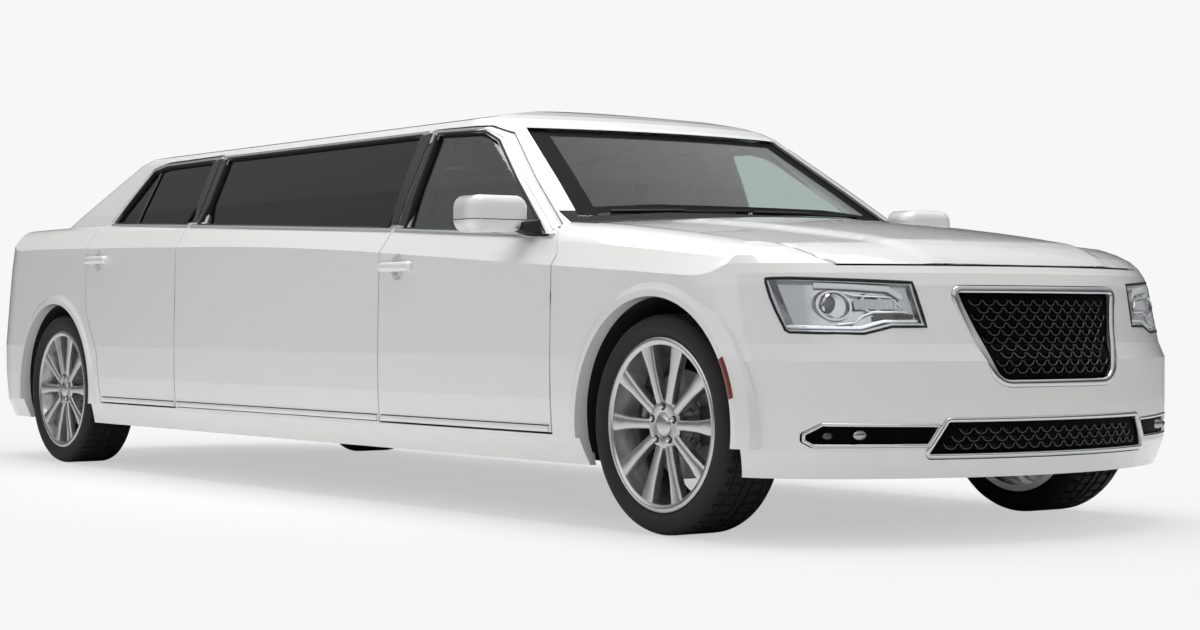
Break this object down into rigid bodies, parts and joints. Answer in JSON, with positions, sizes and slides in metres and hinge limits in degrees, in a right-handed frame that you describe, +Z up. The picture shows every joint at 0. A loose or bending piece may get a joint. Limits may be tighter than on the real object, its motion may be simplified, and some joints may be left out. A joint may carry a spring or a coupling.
{
  "type": "stretch limousine",
  "caption": "Long white saloon limousine with a stretched cabin, front-hinged doors, lifting hood and boot lid, steered front wheels and dark rear glass.",
  "frame": {"origin": "on the ground under the middle of the car", "axes": "+X towards the nose, +Y towards the left side, +Z up"},
  "size_m": [6.6, 2.244, 1.5],
  "materials": {
    "body_paint": "gloss white",
    "underbody": "black underseal",
    "clear_glass": "lightly tinted",
    "dark_glass": "dark privacy tint",
    "tyre": "black rubber",
    "alloy": "bright silver",
    "cast_metal": "cast",
    "exhaust_steel": "dull steel",
    "dash_plastic": "grained black",
    "seat_leather": "black leather",
    "lamp_reflector": "bright reflector",
    "lamp_lens": "clear lens",
    "tail_lens": "red lens",
    "grille_black": "gloss black",
    "bright_trim": "polished"
  },
  "bodies": {
    "chassis": {"body_side_left": "body_paint", "body_side_right": "body_paint", "roof_panel": "body_paint", "fender_left": "body_paint", "fender_right": "body_paint", "front_bumper": "body_paint", "rear_bumper": "body_paint", "floor_pan": "underbody", "firewall": "underbody", "rear_bulkhead": "underbody", "wheel_arch_liners": "underbody", "fuel_tank": "underbody", "radiator": "underbody", "windscreen": "clear_glass", "privacy_glass": "dark_glass", "front_subframe": "cast_metal", "rear_subframe": "cast_metal", "engine_block": "cast_metal", "driveline": "cast_metal", "exhaust": "exhaust_steel", "dashboard": "dash_plastic", "steering_wheel": "dash_plastic", "front_seats": "seat_leather", "lounge_seat": "seat_leather", "side_sofa": "seat_leather", "front_lamps": "lamp_reflector", "front_lamp_lenses": "lamp_lens", "tail_lamps": "tail_lens", "grilles": "grille_black", "grille_surrounds": "bright_trim"},
    "wheel_front_left": {"tyre_front_left": "tyre", "rim_front_left": "alloy"},
    "wheel_front_right": {"tyre_front_right": "tyre", "rim_front_right": "alloy"},
    "wheel_rear_left": {"tyre_rear_left": "tyre", "rim_rear_left": "alloy"},
    "wheel_rear_right": {"tyre_rear_right": "tyre", "rim_rear_right": "alloy"},
    "steer_left": {"knuckle_front_left": "cast_metal"},
    "steer_right": {"knuckle_front_right": "cast_metal"},
    "front_door_left": {"door_front_left": "body_paint", "glass_front_left": "clear_glass", "mirror_left": "body_paint"},
    "front_door_right": {"door_front_right": "body_paint", "glass_front_right": "clear_glass", "mirror_right": "body_paint"},
    "rear_door_left": {"door_rear_left": "body_paint", "glass_rear_left": "dark_glass"},
    "rear_door_right": {"door_rear_right": "body_paint", "glass_rear_right": "dark_glass"},
    "hood_panel": {"hood": "body_paint"},
    "boot_panel": {"boot_lid": "body_paint"}
  },
  "joints": [
    {"name": "steer_left", "type": "hinge", "parent": "chassis", "child": "steer_left", "pos_m": [2.43, 0.75, 0.352], "axis": [0, 0, 1], "range_deg": [-32, 32]},
    {"name": "spin_front_left", "type": "hinge", "parent": "steer_left", "child": "wheel_front_left", "pos_m": [2.43, 0.8, 0.352], "axis": [0, 1, 0], "continuous": true},
    {"name": "spin_rear_left", "type": "hinge", "parent": "chassis", "child": "wheel_rear_left", "pos_m": [-2.3, 0.8, 0.352], "axis": [0, 1, 0], "continuous": true},
    {"name": "front_door_left_swing", "type": "hinge", "parent": "chassis", "child": "front_door_left", "pos_m": [1.826, 0.93, 0.6], "axis": [0, 0, -1], "range_deg": [0, 65]},
    {"name": "rear_door_left_swing", "type": "hinge", "parent": "chassis", "child": "rear_door_left", "pos_m": [-1.044, 0.93, 0.6], "axis": [0, 0, -1], "range_deg": [0, 65]},
    {"name": "steer_right", "type": "hinge", "parent": "chassis", "child": "steer_right", "pos_m": [2.43, -0.75, 0.352], "axis": [0, 0, 1], "range_deg": [-32, 32]},
    {"name": "spin_front_right", "type": "hinge", "parent": "steer_right", "child": "wheel_front_right", "pos_m": [2.43, -0.8, 0.352], "axis": [0, 1, 0], "continuous": true},
    {"name": "spin_rear_right", "type": "hinge", "parent": "chassis", "child": "wheel_rear_right", "pos_m": [-2.3, -0.8, 0.352], "axis": [0, 1, 0], "continuous": true},
    {"name": "front_door_right_swing", "type": "hinge", "parent": "chassis", "child": "front_door_right", "pos_m": [1.826, -0.93, 0.6], "axis": [0, 0, 1], "range_deg": [0, 65]},
    {"name": "rear_door_right_swing", "type": "hinge", "parent": "chassis", "child": "rear_door_right", "pos_m": [-1.044, -0.93, 0.6], "axis": [0, 0, 1], "range_deg": [0, 65]},
    {"name": "hood_lift", "type": "hinge", "parent": "chassis", "child": "hood_panel", "pos_m": [1.946, 0, 1.02], "axis": [0, -1, 0], "range_deg": [0, 50]},
    {"name": "boot_lift", "type": "hinge", "parent": "chassis", "child": "boot_panel", "pos_m": [-2.724, 0, 1.122], "axis": [0, 1, 0], "range_deg": [0, 75]}
  ],
  "couplings": [
    {"joint": "steer_right", "follows": "steer_left", "ratio": 1}
  ]
}
